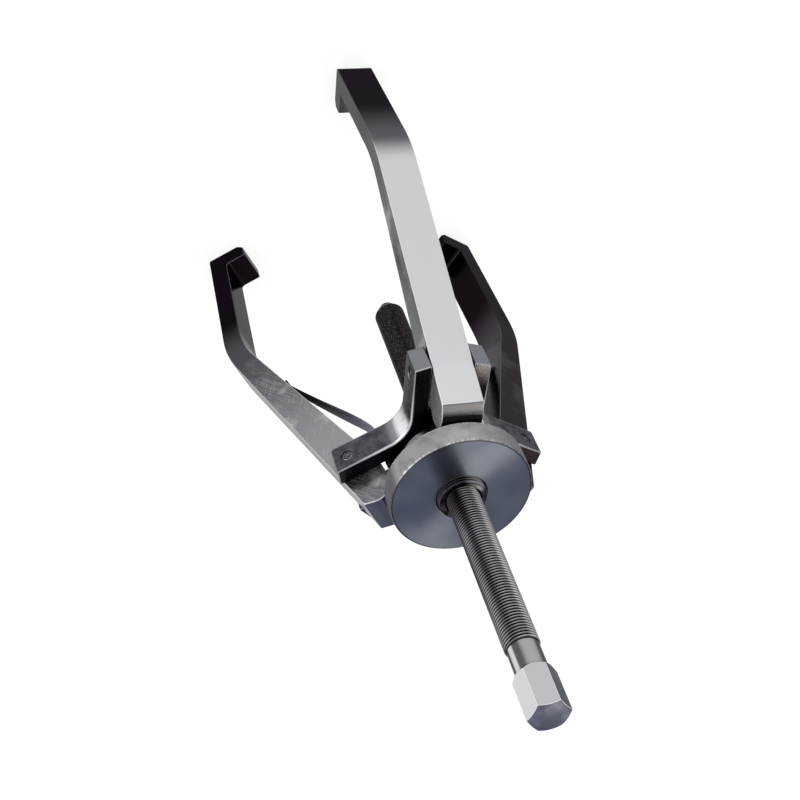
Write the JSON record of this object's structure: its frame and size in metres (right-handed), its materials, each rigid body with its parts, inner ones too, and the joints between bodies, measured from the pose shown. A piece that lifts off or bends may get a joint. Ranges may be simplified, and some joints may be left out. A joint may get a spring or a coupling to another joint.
{
  "type": "self-centring bearing puller",
  "caption": "Self-centring bearing puller: hooked arms pinned in a forked spider, spread by a knurled nut and cone against leaf springs, pushed off by a forcing screw.",
  "frame": {"origin": "middle of the flat at the tip of the spindle's nose", "axes": "+Z along the spindle from the nose to the hexagon, -Y towards arm a, +X to the right of it"},
  "size_m": [0.2118, 0.1836, 0.4966],
  "materials": {
    "arm_steel": "ground and brushed, satin, darker where it was hot-bent",
    "spider_forging": "dark forging, rubbed bright on its curved sides",
    "sleeve_steel": "turned, oiled thread",
    "nut_steel": "turned and blued face, bright knurled rim",
    "cone_steel": "hardened and ground",
    "spindle_steel": "rolled thread with dark roots, ground shank and hexagon",
    "nose_steel": "blackened, oiled",
    "spring_steel": "blued spring strip",
    "fastener_steel": "dark oiled steel"
  },
  "bodies": {
    "frame": {"spider": "spider_forging", "threaded_sleeve": "sleeve_steel", "sleeve_lock_screw": "fastener_steel", "pivot_pin_a": "fastener_steel", "pivot_pin_b": "fastener_steel", "pivot_pin_c": "fastener_steel", "arm_spring_a": "spring_steel", "arm_spring_b": "spring_steel", "arm_spring_c": "spring_steel", "spring_screw_a": "fastener_steel", "spring_screw_b": "fastener_steel", "spring_screw_c": "fastener_steel"},
    "cone": {"thrust_cone": "cone_steel"},
    "nut": {"knurled_nut": "nut_steel", "cone_washer": "cone_steel", "cone_snap_ring": "spring_steel"},
    "arm_a": {"arm_a": "arm_steel"},
    "arm_b": {"arm_b": "arm_steel"},
    "arm_c": {"arm_c": "arm_steel"},
    "nose": {"spindle_nose": "nose_steel", "nose_ball": "cone_steel", "nose_pin": "fastener_steel"},
    "spindle": {"spindle": "spindle_steel"}
  },
  "joints": [
    {"name": "nut_travel", "type": "slide", "parent": "frame", "child": "cone", "axis": [0, 0, 1], "range_m": [0, 0.009]},
    {"name": "nut_spin", "type": "hinge", "parent": "cone", "child": "nut", "pos_m": [0, 0, 0.185], "axis": [0, 0, 1], "range_deg": [0, 1620]},
    {"name": "arm_swing_a", "type": "hinge", "parent": "frame", "child": "arm_a", "pos_m": [0, -0.0528, 0.1398], "axis": [-1, 0, 0], "range_deg": [0, 9]},
    {"name": "arm_swing_b", "type": "hinge", "parent": "frame", "child": "arm_b", "pos_m": [0.04573, 0.0264, 0.1398], "axis": [0.5, -0.866, 0], "range_deg": [0, 9]},
    {"name": "arm_swing_c", "type": "hinge", "parent": "frame", "child": "arm_c", "pos_m": [-0.04573, 0.0264, 0.1398], "axis": [0.5, 0.866, 0], "range_deg": [0, 9]},
    {"name": "spindle_travel", "type": "slide", "parent": "frame", "child": "nose", "axis": [0, 0, -1], "range_m": [-0.028, 0.11]},
    {"name": "spindle_spin", "type": "hinge", "parent": "nose", "child": "spindle", "pos_m": [0, 0, 0.2], "axis": [0, 0, -1], "range_deg": [-5040, 19800]}
  ],
  "couplings": [
    {"joint": "nut_travel", "follows": "nut_spin", "m_per_rad": 0.00031831},
    {"joint": "arm_swing_a", "follows": "nut_spin", "ratio": 0.0055263},
    {"joint": "arm_swing_b", "follows": "nut_spin", "ratio": 0.0055263},
    {"joint": "arm_swing_c", "follows": "nut_spin", "ratio": 0.0055263},
    {"joint": "spindle_spin", "follows": "spindle_travel", "rad_per_m": 3141.6}
  ]
}
